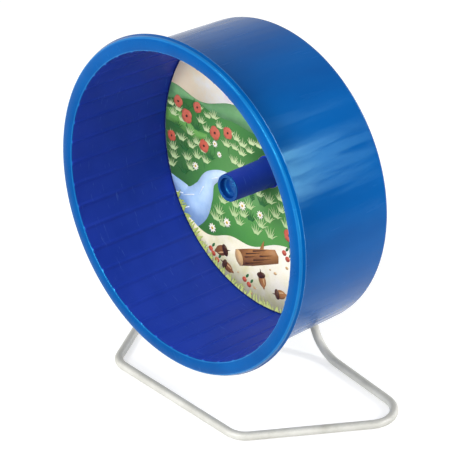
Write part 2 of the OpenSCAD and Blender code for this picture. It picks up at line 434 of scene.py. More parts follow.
@dataclass(frozen=True)
class PrintedInk(Finish):
    """Offset ink under varnish on lined board.

    It gives the eye a colour that drifts over the picture, a faint screen of dots and
    a thin even sheen. The screen is drawn at 0.9 mm, because a real one of 0.15 mm is
    too fine to show.
    """

    shade: Pattern = Pattern(9, 4)
    rough: float = 0.5
    bumps: Bumps = ((Pattern(1.1, 3), 0.01),)
    ior: float = 1.5
    shine: float = 0.35
    # The way that its colours run in, the height of the card's centre in metres, the
    # card's radius, and how far the shades' pattern shifts the colours
    along: Point = (0.0, 1.0)
    centre_height: float = 0.13
    reach: float = 90.0
    drift: float = 0.35
    # The screen's pitch and disorder, the range from a dot's centre to its edge, and
    # the brightness at both
    screen: float = 0.9
    disorder: float = 0.15
    dot: Point = (0.2, 0.55)
    dot_tone: Point = (0.9, 1.04)

    def colour(self, tree: Tree) -> Socket:
        """Gives the drift of colour under its screen of dots.

        Args:
            tree: The material's node tree.

        Returns:
            The colour socket.
        """
        where = object_place(tree, (1, 1, 1))
        # Across the card from 0 at one edge to 1 at the other, along the ink's direction
        run = 2 * self.reach * MM
        slope = (self.along[0] / run, 0.0, self.along[1] / run)
        start = 0.5 - self.centre_height * self.along[1] / run - self.drift / 2
        along = {"operation": "DOT_PRODUCT", 0: where, 1: slope}
        across = add_node(tree, "VectorMath", along).outputs["Value"]
        mottle = self.shade.add(tree)
        drifted = {"operation": "MULTIPLY_ADD", 0: mottle, 1: self.drift, 2: across}
        tone = add_node(tree, "Math", drifted).outputs[0]
        tone = add_node(tree, "Math", {"operation": "ADD", 0: tone, 1: start}).outputs[0]
        ramp = {"stops": self.stops, "Fac": tone}
        flat = add_node(tree, "ValToRGB", ramp).outputs["Color"]
        screen = {"Scale": 1 / (self.screen * MM), "Randomness": self.disorder}
        dots = add_node(tree, "TexVoronoi", {**screen, "Vector": where}).outputs["Distance"]
        dot = {"From Min": self.dot[0], "From Max": self.dot[1]}
        tones = {"To Min": self.dot_tone[0], "To Max": self.dot_tone[1]}
        shade = add_node(tree, "MapRange", {**dot, **tones, "Value": dots}).outputs[0]
        printed = {"operation": "SCALE", 0: flat, "Scale": shade}
        return add_node(tree, "VectorMath", printed).outputs[0]


GLOSS_BLUE = PolishedPolypropylene("polypropylene_polished_blue")
# Darker than the polished blue: painted shade on the hub's tip and its cap, deep inside the drum
CAP_BLUE = PolishedPolypropylene(
    "polypropylene_polished_cap_painted_shade", stops=shades("#08347a", "#0e4088"), rough=(0.08, 0.32), shine=0.6
)
# Lighter blue than the polished face: a painted highlight along the rounded edges
EDGE_BLUE = PolishedPolypropylene(
    "polypropylene_edge_painted_highlight",
    stops=shades("#0a60a4", "#166cb2"),
    rough=(0.04, 0.28),
    shine=0.55,
)
# The inside's deeper, more violet blue is painted shade; the spark-eroded satin is real
SATIN_BLUE = TexturedPolypropylene("polypropylene_spark_eroded_painted_shade")
# Dark navy for the back corner: painted shade where the card meets the running surface
CORNER_BLUE = TexturedPolypropylene(
    "polypropylene_corner_painted_shade", stops=shades("#0b1a55", "#112366"), scuff="#1a2f77"
)
NYLON = MouldedNylon("nylon_moulded_natural")
STEEL = DrawnSteel("steel_bright_drawn")
PUNCHED_STEEL = DrawnSteel("steel_punched_sheet", shade=Pattern(0.35, 3), rough=(0.3, 0.44))
ZINC = ZincPlate("spring_steel_zinc_plated")
VINYL = DippedVinyl("vinyl_dipped_white")
BOARD = GreyBoard("board_lined_grey")


def arc(centre: Point, radius: float, start: float, end: float, steps: int) -> Outline:
    """Gives points of an arc.

    Args:
        centre: Centre of the arc.
        radius: Its radius.
        start: Angle of its first point, in degrees.
        end: Angle of its last point, in degrees.
        steps: Number of chords.

    Returns:
        The points, one more than the chords.
    """
    turn = [math.radians(start + (end - start) * i / steps) for i in range(steps + 1)]
    return [(centre[0] + radius * math.cos(a), centre[1] + radius * math.sin(a)) for a in turn]


def bent_path(
    corners: Sequence[Vector], radii: Sequence[float], step: float, closed: bool = False
) -> list[Vector]:
    """Rounds the corners of a line of straight runs.

    Args:
        corners: The corner points, in two or three dimensions.
        radii: The radius at each corner; none where it is zero.
        step: Largest turn between two points, in degrees.
        closed: Whether the last corner joins the first.

    Returns:
        The points of the rounded line.
    """
    path: list[Vector] = []
    count = len(corners)
    for i, corner in enumerate(corners):
        ends = not closed and i in (0, count - 1)
        if ends or radii[i] <= 0:
            path.append(corner.copy())
            continue
        into = (corner - corners[i - 1]).normalized()
        out = (corners[(i + 1) % count] - corner).normalized()
        turn = into.angle(out)
        first = corner - into * radii[i] * math.tan(turn / 2)
        inward = (out - into * into.dot(out)).normalized()
        centre = first + inward * radii[i]
        steps = max(2, math.ceil(math.degrees(turn) / step))
        for k in range(steps + 1):
            a = turn * k / steps
            path.append(centre + radii[i] * (into * math.sin(a) - inward * math.cos(a)))
    return path


def steady(outline: list[Station], near: float = 0.3) -> list[Station]:
    """Adds a station near both ends of each long straight run of a closed section.

    Smooth shading blends the directions of the faces that meet at a station. The added
    ones keep that blend inside the rounded edges, so that a lamp's mirror image on a
    straight wall stays whole.

    Args:
        outline: The section.
        near: Distance of the added stations from the ends, in millimetres.

    Returns:
        The section with the added stations.
    """
    fine: list[Station] = []
    for here, there in zip(outline, outline[1:] + outline[:1]):
        fine.append(here)
        run = math.hypot(there[0] - here[0], there[1] - here[1])
        if run < 4 * near:
            continue
        for t in (near / run, 1 - near / run):
            r, d, _, rib = (a + (b - a) * t for a, b in zip(here, there))
            fine.append((r, d, here[2], rib))
    return fine


def add_piece(
    name: str,
    points: Iterable[Sequence[float]],
    faces: Iterable[Sequence[int]],
    body: Body,
    finishes: Sequence[Finish],
    surfaces: Sequence[int] | None = None,
    crease: float = 35.0,
    solid: bool = True,
) -> bpy.types.Object:
    """Makes a mesh piece that rides on a body.

    Args:
        name: Name of the piece.
        points: Vertices in metres, in the row frame.
        faces: Vertex numbers of each face.
        body: The body that it rides on.
        finishes: Its finishes.
        surfaces: For each face, the number of its finish.
        crease: Angle in degrees above which an edge looks sharp.
        solid: Whether the faces enclose the piece, so that they are turned outwards.

    Returns:
        The object.
    """
    mesh = bpy.data.meshes.new(name)
    mesh.from_pydata([tuple(p) for p in points], [], [tuple(f) for f in faces])
    for finish in finishes:
        mesh.materials.append(finish.material())
    if surfaces is not None:
        mesh.polygons.foreach_set("material_index", list(surfaces))
    if solid:
        work = bmesh.new()
        work.from_mesh(mesh)
        bmesh.ops.recalc_face_normals(work, faces=work.faces)
        work.to_mesh(mesh)
        work.free()
    mesh.shade_smooth()
    mesh.set_sharp_from_angle(angle=math.radians(crease))
    piece = bpy.data.objects.new(name, mesh)
    bpy.context.scene.collection.objects.link(piece)
    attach(piece, body.value)
    LOG.info("%s: %d faces on %s", name, len(mesh.polygons), body.value)
    return piece


@dataclass(frozen=True)
class AxleLine:
    """The line that the drum turns about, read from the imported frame, in metres."""

    height: float
    front: float

    @classmethod
    def of(cls, frame: dict[str, Any], floor_depth: float) -> "AxleLine":
        """Reads the line from the hinge and from the card, which lies on the back wall.

        Args:
            floor_depth: Depth of the back wall's front face, in millimetres.

        Returns:
            The line.
        """
        height = frame["joints"][0]["pos_m"][2]
        return cls(height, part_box("insert_card")[1].y - floor_depth * MM)

    def at(self, radius: float, angle: float, depth: float) -> Place:
        """Gives the place at a radius, an angle in radians and a depth, in metres."""
        across, up = radius * MM * math.cos(angle), radius * MM * math.sin(angle)
        return across, self.front + depth * MM, self.height + up

    def flat(self, right: float, up: float, depth: float) -> Place:
        """Gives the place right of and above the axle at a depth, in metres."""
        return right * MM, self.front + depth * MM, self.height + up * MM


def turn_round(
    line: AxleLine,
    profile: Sequence[Point],
    angles: Sequence[float],
    closed: bool = True,
    lift: Callable[[int, float], float] | None = None,
) -> tuple[list[Place], list[tuple[int, ...]]]:
    """Turns a section round the axle.

    Args:
        line: The axle's line.
        profile: Radius and depth of each point of the section, in millimetres.
        angles: Angles of the copies, in radians, in rising order.
        closed: Whether the section's last point joins its first.
        lift: Gives how far a profile point stands nearer the axle at an angle's number.

    Returns:
        Points and faces. The faces of one copy run along the section.
    """
    count, copies = len(profile), len(angles)
    points = [
        line.at(r - (lift(i, k) if lift else 0.0), a, d)
        for k, a in enumerate(angles)
        for i, (r, d) in enumerate(profile)
    ]
    faces = []
    for k in range(copies):
        near, far = k * count, (k + 1) % copies * count
        for i in range(count if closed else count - 1):
            j = (i + 1) % count
            faces.append((near + i, far + i, far + j, near + j))
    return points, faces


def even_angles(count: int) -> list[float]:
    """Gives angles spread evenly round the axle, in radians."""
    return [2 * math.pi * k / count for k in range(count)]


class Skin(IntEnum):
    """Places on the moulding that look different, by the number of their finish."""

    # The inside, the hub's tip and the back corner have darker blues, which are painted shade; the
    # rounded edges have a lighter one, which is a painted highlight
    POLISHED = 0
    CORE = 1
    HANDLED = 2
    HUB_TIP = 3
    GRIMED = 4


@dataclass
class Drum:
    """The blue moulding: running wall with its ribs, back wall, rim and hub."""

    line: AxleLine
    wall_r: float = 93.4
    wall_t: float = 1.8
    draft: float = 0.6
    depth: float = 77.0
    back_t: float = 2.6
    back_edge_r: float = 2.4
    corner_r: float = 0.8
    rim_h: float = 6.6
    rim_t: float = 1.8
    rim_root_r: float = 0.5
    lip_depth: float = 4.2
    lip_flare: float = 0.8
    lip_inner_r: float = 0.4
    crown: float = 0.4
    edge_r: float = 0.6
    rim_edge_r: float = 1.3
    lip_edge_r: float = 0.9
    rib_count: int = 42
    rib_h: float = 0.6
    rib_half_w: float = 1.9
    rib_front: float = 0.45
    # Length over which a rib rises behind its front end
    rib_rise: float = 0.9
    # Steps across half a rib, and across the gap to the next one
    rib_steps: int = 6
    gap_steps: int = 5
    # Share of the ribs' height by which the outside sank over each rib, and the depths
    # between which it did
    sink: float = 0.03
    sunk: tuple[float, float] = (8, 65)
    hub_tip: float = 41.0
    hub_tip_r: float = 8.3
    hub_root_r: float = 8.9
    tip_edge_r: float = 0.25
    root_r: float = 0.8
    pocket_r: float = 7.0
    bore_r: float = 4.5
    shoulder: float = 51.0
    boss_r: float = 12.0
    boss_h: float = 2.0
    boss_edge_r: float = 0.5
    boss_root_r: float = 0.7

    # Depths of the points along the wall's outside and along the running surface
    OUTSIDE: ClassVar = (68, 60, 40, 20, 10, 5)
    INSIDE: ClassVar = (1.25, 1.6, 2.2, 6, 20, 40, 58, 70)

    def inner_at(self, depth: float) -> float:
        """Gives the radius of the running surface at a depth."""
        return self.wall_r - self.wall_t - self.draft * depth / self.depth

    def rib_share(self, radius: float, depth: float) -> float:
        """Gives how much of the ribs' height there is: they fade at both ends.

        Args:
            radius: Radius of the place on the section.
            depth: Depth of the place.

        Returns:
            The share, from 0 to 1.
        """
        t = min(1.0, max(0.0, (depth - self.rib_front) / self.rib_rise))
        under = max(0.0, self.inner_at(depth) - radius) if depth > self.depth / 2 else 0.0
        return t * t * (3 - 2 * t) * max(0.0, 1 - under / self.rib_h)

    def section(self) -> list[Station]:
        """Draws the section of the moulding.

        Returns:
            The stations, from the hub's pocket round the outside to the hub's tip.
        """
        e, soft, lip_e = self.edge_r, self.rim_edge_r, self.lip_edge_r
        boss_e, boss_f, back_e = self.boss_edge_r, self.boss_root_r, self.back_edge_r
        rim_f, lip_f, tip_e = self.rim_root_r, self.lip_inner_r, self.tip_edge_r
        back_r = self.wall_r - self.draft
        rim_r = self.wall_r + self.rim_h
        lip_r = rim_r + self.lip_flare
        floor = self.depth - self.back_t
        boss = self.depth + self.boss_h
        behind = self.rim_t + self.crown
        inner_back = back_r - self.wall_t
        face_in, face_out = self.inner_at(0) + e, rim_r - soft
        half = (face_out - face_in) / 2
        crown_r = (half * half + self.crown**2) / (2 * self.crown)
        crown_a = math.degrees(math.asin(half / crown_r))
        back = [
            (self.pocket_r, self.shoulder),
            (self.bore_r, self.shoulder),
            (self.bore_r, boss),
            *arc((self.boss_r - boss_e, boss - boss_e), boss_e, 90, 0, 4),
            *arc((self.boss_r + boss_f, self.depth + boss_f), boss_f, 180, 270, 4),
            *arc((back_r - back_e, self.depth - back_e), back_e, 90, 0, 10),
            *((self.wall_r - self.draft * d / self.depth, d) for d in self.OUTSIDE),
            *arc((self.wall_r + rim_f, behind + rim_f), rim_f, 180, 270, 4),
            *arc((rim_r - self.rim_t - rim_f, behind + rim_f), rim_f, -90, 0, 4),
            *arc((lip_r - self.rim_t + lip_f, self.lip_depth - lip_f), lip_f, 180, 90, 4),
        ]
        lip_edge = arc((lip_r - lip_e, self.lip_depth - lip_e), lip_e, 90, 0, 8)
        rim_edge = arc((rim_r - soft, self.crown + soft), soft, 0, -90, 10)
        face = arc((face_in + half, crown_r), crown_r, crown_a - 90, -crown_a - 90, 12)[1:-1]
        inner_edge = arc((face_in, self.crown + e), e, -90, -180, 8)[:-1]
        running = [(self.inner_at(d), d) for d in (self.crown + e, *self.INSIDE)]
        corner = arc((inner_back - self.corner_r, floor - self.corner_r), self.corner_r, 0, 90, 6)
        hub = arc((self.hub_root_r + self.root_r, floor - self.root_r), self.root_r, 90, 180, 6)
        tip = arc((self.hub_tip_r - e, self.hub_tip + e), e, 0, -90, 6)
        tip += arc((self.pocket_r + tip_e, self.hub_tip + tip_e), tip_e, -90, -180, 3)
        outline: list[Station] = []
        for r, d in back:
            sinks = r > self.inner_at(d) and self.sunk[0] < d < self.sunk[1]
            outline.append((r, d, Skin.POLISHED, self.sink if sinks else 0.0))
        # The rounded edges of the lip and the rim get the lighter blue of a painted highlight
        for edge in (lip_edge, rim_edge):
            outline += [(r, d, Skin.HANDLED, 0.0) for r, d in edge[:-1]]
            outline.append((*edge[-1], Skin.POLISHED, 0.0))
        outline += [(r, d, Skin.POLISHED, 0.0) for r, d in face]
        # The face behind the edge's last point is the first of the running surface
        ribbed = [(inner_edge[:-1], Skin.HANDLED), (inner_edge[-1:] + running, Skin.CORE)]
        # The back corner gets the dark navy of a painted shade
        for run, skin in (*ribbed, (corner, Skin.GRIMED)):
            outline += [(r, d, skin, self.rib_share(r, d)) for r, d in run]
        # The hub's tube is in the inside's violet blue and its tip in the cap's dark blue: both
        # painted shade
        for run, skin in ((hub, Skin.CORE), (tip, Skin.HUB_TIP)):
            outline += [(r, d, skin, 0.0) for r, d in run]
        return steady(outline)

    def rib_angles(self) -> tuple[list[float], list[float]]:
        """Spreads the section's copies so that each rib has a rounded back.

        Returns:
            The angles in radians, and the height of the rib at each.
        """
        pitch = 2 * math.pi / self.rib_count
        w = self.rib_half_w
        near = [w * k / self.rib_steps for k in range(-self.rib_steps, self.rib_steps + 1)]
        gap = pitch * self.inner_at(0) - 2 * w
        between = [w + gap * k / self.gap_steps for k in range(1, self.gap_steps)]
        angles, heights = [], []
        for rib in range(self.rib_count):
            for s in near + between:
                angles.append((rib + 0.5) * pitch + s / self.inner_at(0))
                rise = 0.5 + 0.5 * math.cos(math.pi * s / w) if abs(s) < w else 0.0
                heights.append(self.rib_h * rise)
        return angles, heights

    def build(self) -> None:
        """Builds the moulding in its finishes."""
        section = self.section()
        angles, heights = self.rib_angles()
        points, faces = turn_round(
            self.line,
            [(r, d) for r, d, _, _ in section],
            angles,
            lift=lambda i, k: heights[k] * section[i][3],
        )
        # In the order of the skins' numbers
        finishes = [GLOSS_BLUE, SATIN_BLUE, EDGE_BLUE, CAP_BLUE, CORNER_BLUE]
        surfaces = [int(skin) for _ in angles for _, _, skin, _ in section]
        piece = add_piece(
            "drum_moulding", points, faces, Body.WHEEL,
            finishes, surfaces, crease=40,
        )
        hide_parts("drum")


@dataclass
class HubCap:
    """The dished cap that closes the hub's pocket."""

    line: AxleLine
    front: float = 41.0
    radius: float = 7.0
    wall: float = 0.8
    dish: float = 4.0
    fillet: float = 1.6
    lip_inner_r: float = 0.35
    lip_outer_r: float = 0.3
    chamfer: float = 0.5
    # The pip that the gate left: its height in the middle and at the edge of its top,
    # and the radii of its top and its foot
    gate_h: float = 0.25
    gate_edge_h: float = 0.22
    gate_top_r: float = 0.55
    gate_foot_r: float = 0.8

    def build(self) -> None:
        """Builds the cap with a rounded lip, a filleted floor and its gate mark."""
        inside = self.radius - self.wall
        floor = self.front + self.dish
        back = floor + self.wall
        lip_i, lip_o = self.lip_inner_r, self.lip_outer_r
        profile = [
            (0.0, floor - self.gate_h),
            (self.gate_top_r, floor - self.gate_edge_h),
            (self.gate_foot_r, floor),
            *arc((inside - self.fillet, floor - self.fillet), self.fillet, 90, 0, 10),
            *arc((inside + lip_i, self.front + lip_i), lip_i, 180, 270, 5),
            *arc((self.radius - lip_o, self.front + lip_o), lip_o, -90, 0, 5),
            (self.radius, back - self.chamfer),
            (self.radius - self.chamfer, back),
            (0.0, back),
        ]
        points, faces = turn_round(self.line, profile, even_angles(96), closed=False)
        piece = add_piece(
            "hub_cap_dished", points, faces, Body.WHEEL, [CAP_BLUE]
        )
        weld(piece)
        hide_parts("hub_cap")


def weld(piece: bpy.types.Object, reach: float = 0.001) -> None:
    """Joins points of a mesh that lie together, such as those on the axle's line.

    Args:
        piece: The mesh piece.
        reach: Largest distance in millimetres between points that are joined.
    """
    work = bmesh.new()
    work.from_mesh(piece.data)
    bmesh.ops.remove_doubles(work, verts=work.verts, dist=reach * MM)
    bmesh.ops.recalc_face_normals(work, faces=work.faces)
    work.to_mesh(piece.data)
    work.free()


@dataclass
class TurnedPart:
    """A small part turned or moulded round the axle, with broken edges."""

    name: str
    node: str
    body: Body
    slot: Slot
    finish: Finish
    corners: Sequence[Place]
    copies: int = 96
    # Largest turn between two points of a broken edge, in degrees
    edge_step: float = 22.0

    def build(self, line: AxleLine) -> None:
        """Builds the part from its corners of radius, depth and edge radius.

        Args:
            line: The axle's line.
        """
        flat = [Vector((r, d, 0)) for r, d, _ in self.corners]
        radii = [edge for _, _, edge in self.corners]
        path = bent_path(flat, radii, self.edge_step, closed=True)
        points, faces = turn_round(line, [(p.x, p.y) for p in path], even_angles(self.copies))
        piece = add_piece(self.name, points, faces, self.body, [self.finish])
        if min(r for r, _, _ in self.corners) == 0:
            weld(piece)
        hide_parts(self.node)


@dataclass
class AxleSet:
    """Axle, bushes, washers and sleeve, from the hub's pocket to the risers."""

    line: AxleLine
    axle_r: float = 2.5
    axle_front: float = 46.1
    axle_back: float = 97.7
    axle_chamfer: float = 0.5
    axle_edge: float = 0.12
    bush_bore: float = 2.58
    bush_r: float = 4.5
    bush_edge: float = 0.15
    bush_lead: float = 0.4
    lead_edge: float = 0.1
    flange_t: float = 1.2
    flange_edge: float = 0.25
    flange_back_edge: float = 0.2
    bush_len: float = 8.0
    front_flange: float = 49.8
    front_flange_r: float = 6.9
    rear_flange: float = 79.0
    rear_flange_r: float = 6.5
    washer_t: float = 0.8
    washer_hole: float = 2.65
    hole_edge: float = 0.1
    outer_edge: float = 0.15
    front_washer: float = 48.7
    front_washer_r: float = 6.5
    rear_washer: float = 80.5
    sleeve_front: float = 81.3
    sleeve_back: float = 89.3
    sleeve_r: float = 4.5

    def bush(self, name: str, node: str, flange: float, way: int, flange_r: float) -> TurnedPart:
        """Gives a flanged bush.

        Args:
            name: Name of the piece.
            node: The CAD node that it replaces.
            flange: Depth of the flange's free face.
            way: 1 where its sleeve points to the back, -1 where it points to the front.
            flange_r: Radius of the flange.

        Returns:
            The part.
        """
        under = flange + way * self.flange_t
        end = under + way * self.bush_len
        corners = [
            (self.bush_bore, flange, self.bush_edge),
            (flange_r, flange, self.flange_edge),
            (flange_r, under, self.flange_back_edge),
            (self.bush_r, under, 0.0),
            (self.bush_r, end - way * self.bush_lead, self.lead_edge),
            (self.bush_r - self.bush_lead, end, self.lead_edge),
            (self.bush_bore, end, self.bush_edge),
        ]
        return TurnedPart(name, node, Body.WHEEL, Slot.BUSH_NYLON, NYLON, corners)

    def ring(
        self, name: str, node: str, outer: float, front: float, back: float, finish: Finish
    ) -> TurnedPart:
        """Gives a washer or sleeve with broken edges.

        Args:
            name: Name of the piece.
            node: The CAD node that it replaces.
            outer: Its outer radius.
            front: Depth of its front face.
            back: Depth of its back face.
            finish: Its finish.

        Returns:
            The part.
        """
        corners = [
            (self.washer_hole, front, self.hole_edge),
            (outer, front, self.outer_edge),
            (outer, back, self.outer_edge),
            (self.washer_hole, back, self.hole_edge),
        ]
        return TurnedPart(name, node, Body.STAND, Slot.BRIGHT_STEEL, finish, corners)

    def build(self) -> None:
        """Builds the set, and dresses the star nut, whose CAD shape stays."""
        cut, edge = self.axle_chamfer, self.axle_edge
        rod = [
            (0.0, self.axle_front, 0.0),
            (self.axle_r - cut, self.axle_front, edge),
            (self.axle_r, self.axle_front + cut, edge),
            (self.axle_r, self.axle_back - cut, edge),
            (self.axle_r - cut, self.axle_back, edge),
            (0.0, self.axle_back, 0.0),
        ]
        rear_end = self.rear_flange + self.flange_t
        parts = [
            TurnedPart("axle_rod", "axle", Body.STAND, Slot.BRIGHT_STEEL, STEEL, rod),
            self.bush("bush_front", "front_bush", self.front_flange, 1, self.front_flange_r),
            self.bush("bush_rear", "rear_bush", rear_end, -1, self.rear_flange_r),
            self.ring(
                "washer_front", "front_washer", self.front_washer_r,
                self.front_washer, self.front_washer + self.washer_t, PUNCHED_STEEL,
            ),
            self.ring(
                "washer_rear", "rear_washer", self.rear_flange_r,
                self.rear_washer, self.rear_washer + self.washer_t, PUNCHED_STEEL,
            ),
            self.ring(
                "sleeve_spacer", "spacer_sleeve", self.sleeve_r,
                self.sleeve_front, self.sleeve_back, STEEL,
            ),
        ]
        for part in parts:
            part.build(self.line)
        nut = bpy.data.objects["star_nut"]
        nut.data.materials.clear()
        nut.data.materials.append(ZINC.material())
        LOG.info("star_nut: CAD shape kept, dressed in %s", ZINC.name)


@dataclass
class WireStand:
    """The stand bent from one dipped wire, with the beads that weld it to the axle."""

    line: AxleLine
    wire_r: float = 2.7
    depth: float = 77.0
    front_bar_w: float = 107.0
    base_w: float = 218.4
    riser_foot_w: float = 30.0
    front_bar_in: float = 5.0
    corner_out: float = 21.0
    foot_out: float = 33.0
    riser_top_out: float = 15.0
    riser_tail: float = 5.0
    riser_top_x: float = 5.35
    front_bend_r: float = 13.0
    corner_bend_r: float = 17.5
    foot_bend_r: float = 21.0
    sides: int = 40
    # Largest turn in degrees and largest distance between two rings of points
    bend_step: float = 4.0
    ring_step: float = 6.0
    # The dip's unevenness: its height, the length it changes over, and what it lacks
    # everywhere, so that the wire stays inside the CAD shape
    uneven: float = 0.05
    uneven_length: float = 21.0
    uneven_loss: float = 0.03
    # The weld beads: distance of the centre beside the axle, half sizes, share by which
    # they are lumpy, number of lumps and fineness
    bead_x: float = 2.75
    bead_half: tuple[float, float, float] = (1.75, 2.9, 2.6)
    bead_lump: float = 0.16
    bead_lumps: float = 1.7
    bead_cuts: int = 4

    # Angles of the rings that round off an end, from its tip, in degrees
    DOME: ClassVar = (75, 60, 45, 30, 15)

    @property
    def behind(self) -> float:
        """Gives the row frame's Y of the drum's back, in millimetres."""
        return self.line.front / MM + self.depth

    def route(self) -> list[Vector]:
        """Gives the wire's centre line, from one riser's top to the other's.

        Returns:
            Its points in millimetres, with the bends rounded.
        """
        front, behind, low = self.line.front / MM, self.behind, self.wire_r
        bar = Vector((self.front_bar_w / 2, front + self.front_bar_in, low))
        corner = Vector((self.base_w / 2, behind + self.corner_out, low))
        foot = Vector((self.riser_foot_w / 2, behind + self.foot_out, low))
        top = Vector((self.riser_top_x, behind + self.riser_top_out, self.line.height / MM))
        tail = top + (top - foot).normalized() * self.riser_tail
        bends = (self.front_bend_r, self.corner_bend_r, self.foot_bend_r, 0.0)
        right = list(zip((bar, corner, foot, tail), bends))
        left = [(Vector((-p.x, p.y, p.z)), r) for p, r in reversed(right)]
        way = left + right
        return bent_path([p for p, _ in way], [r for _, r in way], self.bend_step)

    def thick_at(self, place: Vector) -> float:
        """Gives the wire's radius at a place: the dip left it a little uneven."""
        slow = noise.noise(place / self.uneven_length)
        return self.wire_r + self.uneven * slow - self.uneven_loss

    def closing(self, end: Ring, outward: int) -> list[Ring]:
        """Gives the rings that round off an end of the wire.

        Args:
            end: The wire's first or last ring.
            outward: -1 at the wire's first end and 1 at its last.

        Returns:
            The rings, from the tip inwards.
        """
        place, way, side, _ = end
        reach = outward * self.wire_r / 2
        turns = [math.radians(a) for a in self.DOME]
        return [
            (place + way * reach * math.sin(a), way, side, 0.5 + 0.5 * math.cos(a))
            for a in turns
        ]

    def tube(self, path: list[Vector]) -> tuple[list[Vector], list[tuple[int, ...]]]:
        """Sweeps a round wire along a line and rounds its ends.

        Args:
            path: Centre line in millimetres.

        Returns:
            Points in metres, and faces.
        """
        # Long runs get more rings, so that the dip's unevenness shows on them too
        fine = [path[0]]
        for here, there in zip(path, path[1:]):
            cuts = max(1, math.ceil((there - here).length / self.ring_step))
            fine += [here.lerp(there, k / cuts) for k in range(1, cuts + 1)]
        ways = [(b - a).normalized() for a, b in zip(fine, fine[1:])]
        ways = [ways[0]] + [(a + b).normalized() for a, b in zip(ways, ways[1:])] + [ways[-1]]
        side = ways[0].orthogonal().normalized()
        rings: list[Ring] = []
        for place, way in zip(fine, ways):
            side = (side - way * side.dot(way)).normalized()
            rings.append((place, way, side, 1.0))
        rings = self.closing(rings[0], -1) + rings + self.closing(rings[-1], 1)[::-1]
        points: list[Vector] = []
        for place, way, out, share in rings:
            up = way.cross(out)
            r = self.thick_at(place) * share
            for a in even_angles(self.sides):
                points.append((place + r * (math.cos(a) * out + math.sin(a) * up)) * MM)
        n = self.sides
        faces = [
            (i * n + k, i * n + (k + 1) % n, (i + 1) * n + (k + 1) % n, (i + 1) * n + k)
            for i in range(len(rings) - 1)
            for k in range(n)
        ]
        faces.append(tuple(reversed(range(n))))
        faces.append(tuple(range((len(rings) - 1) * n, len(rings) * n)))
        return points, faces

    def bead(self, side: int) -> None:
        """Builds the weld bead between a riser and the axle.

        Args:
            side: 1 for the right riser, -1 for the left one.
        """
        height = self.line.height / MM
        centre = Vector((side * self.bead_x, self.behind + self.riser_top_out, height))
        half = self.bead_half
        work = bmesh.new()
        bmesh.ops.create_icosphere(work, subdivisions=self.bead_cuts, radius=1.0)
        for vert in work.verts:
            way = vert.co.copy()
            grain = noise.noise(way * self.bead_lumps + Vector((side * 3, 0, 0)))
            lump = 1 + self.bead_lump * grain
            out = Vector((way.x * half[0], way.y * half[1], way.z * half[2]))
            vert.co = (centre + out * lump) * MM
        points = [tuple(v.co) for v in work.verts]
        faces = [[v.index for v in f.verts] for f in work.faces]
        work.free()
        name = "weld_bead_right" if side > 0 else "weld_bead_left"
        add_piece(name, points, faces, Body.STAND, [VINYL], crease=80)

    def build(self) -> None:
        """Builds the wire and both beads."""
        points, faces = self.tube(self.route())
        piece = add_piece(
            "stand_wire_dipped", points, faces, Body.STAND, [VINYL], crease=60
        )
        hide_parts("stand_wire")
        for side in (1, -1):
            self.bead(side)


def laid(points: Iterable[Point], x: float, y: float, turn: float) -> Outline:
    """Turns points by degrees round the origin, which then goes to a place."""
    c, s = math.cos(math.radians(turn)), math.sin(math.radians(turn))
    return [(x + px * c - py * s, y + px * s + py * c) for px, py in points]


def oval(x: float, y: float, a: float, b: float, turn: float = 0.0, steps: int = 28) -> Outline:
    """Gives an oval round a place from its half length and half width, turned by degrees."""
    ring = [2 * math.pi * k / steps for k in range(steps)]
    return laid([(a * math.cos(t), b * math.sin(t)) for t in ring], x, y, turn)


def blade(
    x: float, y: float, length: float, width: float, turn: float, bow: float = 0.15, steps: int = 8
) -> Outline:
    """Gives a curved blade that tapers to a point.

    Args:
        x: Place of its foot.
        y: Place of its foot.
        length: Its length.
        width: Its width at the foot.
        turn: Its direction, in degrees from the right.
        bow: How far it bends sideways, as a share of its length.
        steps: Points along each side.

    Returns:
        The outline.
    """
    spine = [(length * t, bow * length * t * t) for t in (k / steps for k in range(steps + 1))]
    half = [width / 2 * (1 - (k / steps) ** 1.6) for k in range(steps + 1)]
    left = [(px, py + h) for (px, py), h in zip(spine, half)]
    right = [(px, py - h) for (px, py), h in zip(spine, half)][:-1]
    return laid(left + right[::-1], x, y, turn)


def leaf(x: float, y: float, length: float, width: float, turn: float, steps: int = 10) -> Outline:
    """Gives a leaf that is pointed at both ends.

    Args:
        x: Place of its stalk's end.
        y: Place of its stalk's end.
        length: Its length.
        width: Its width in the middle.
        turn: Its direction, in degrees from the right.
        steps: Points along each side.

    Returns:
        The outline.
    """
    side = [
        (length * k / steps, width / 2 * math.sin(math.pi * k / steps) ** 0.8)
        for k in range(steps + 1)
    ]
    return laid(side + [(px, -py) for px, py in side[-2:0:-1]], x, y, turn)


def ribbon(centre: Sequence[tuple[float, float, float]], cuts: int = 10) -> Outline:
    """Gives a band of changing width along a smooth line.

    Args:
        centre: Place and half width at each point of the line.
        cuts: Points between two given ones.

    Returns:
        The outline.
    """
    fine: list[Vector] = []
    line = [Vector(p) for p in centre]
    line = [2 * line[0] - line[1], *line, 2 * line[-1] - line[-2]]
    for a, b, c, d in zip(line, line[1:], line[2:], line[3:]):
        for k in range(cuts):
            t = k / cuts
            curve = 2 * b + (c - a) * t
            curve = curve + (2 * a - 5 * b + 4 * c - d) * t**2
            curve = curve + (3 * b - a - 3 * c + d) * t**3
            fine.append(0.5 * curve)
    left, right = [], []
    for here, there in zip(fine, fine[1:]):
        way = Vector((there.x - here.x, there.y - here.y)).normalized()
        left.append((here.x - way.y * here.z, here.y + way.x * here.z))
        right.append((here.x + way.y * here.z, here.y - way.x * here.z))
    return left + right[::-1]


